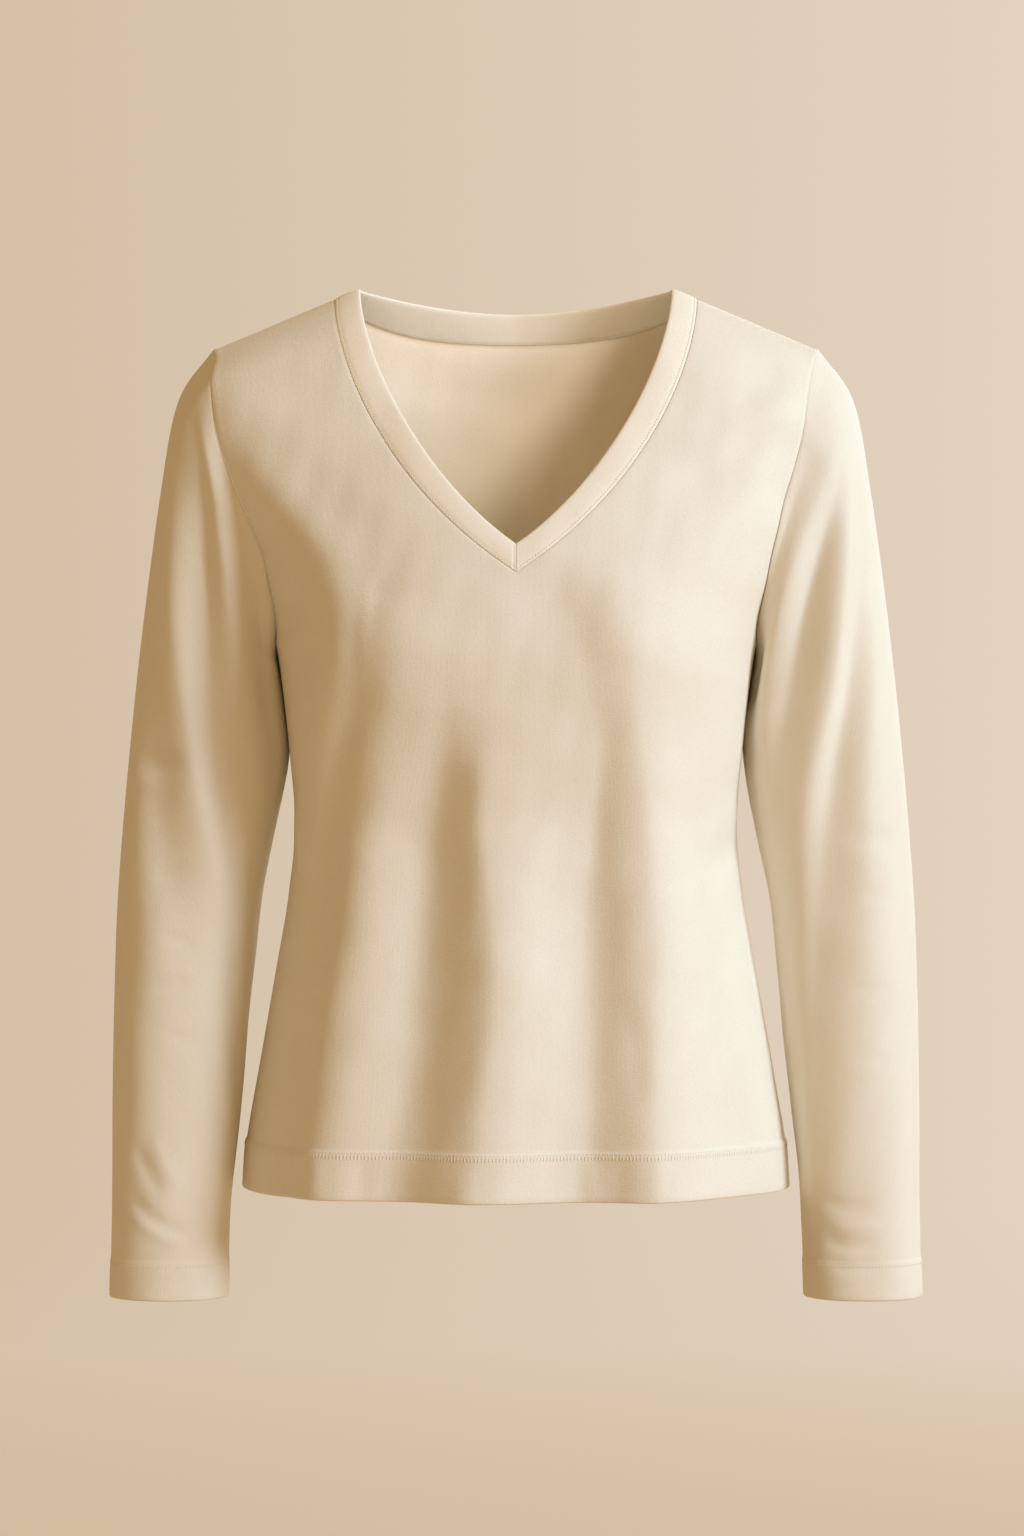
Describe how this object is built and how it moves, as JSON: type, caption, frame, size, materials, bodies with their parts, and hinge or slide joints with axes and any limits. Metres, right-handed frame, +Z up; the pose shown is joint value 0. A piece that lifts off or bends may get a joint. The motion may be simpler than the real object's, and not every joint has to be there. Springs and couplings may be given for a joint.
{
  "type": "blouse",
  "caption": "Long-sleeved v-neck top in fine knitted cotton, hollow and held in its worn shape, with a banded neckline and turned-up hem and cuffs.",
  "frame": {"origin": "midway between the two high shoulder points, level with them, where the wearer's shoulders carry the garment", "axes": "+Z up, +X towards the wearer's left, the front faces -Y"},
  "size_m": [0.5138, 0.2431, 0.6412],
  "materials": {
    "jersey": "matte cream cotton jersey"
  },
  "bodies": {
    "root": {"front": "jersey", "back": "jersey", "sleeve_left": "jersey", "sleeve_right": "jersey", "neckband": "jersey"}
  },
  "joints": []
}
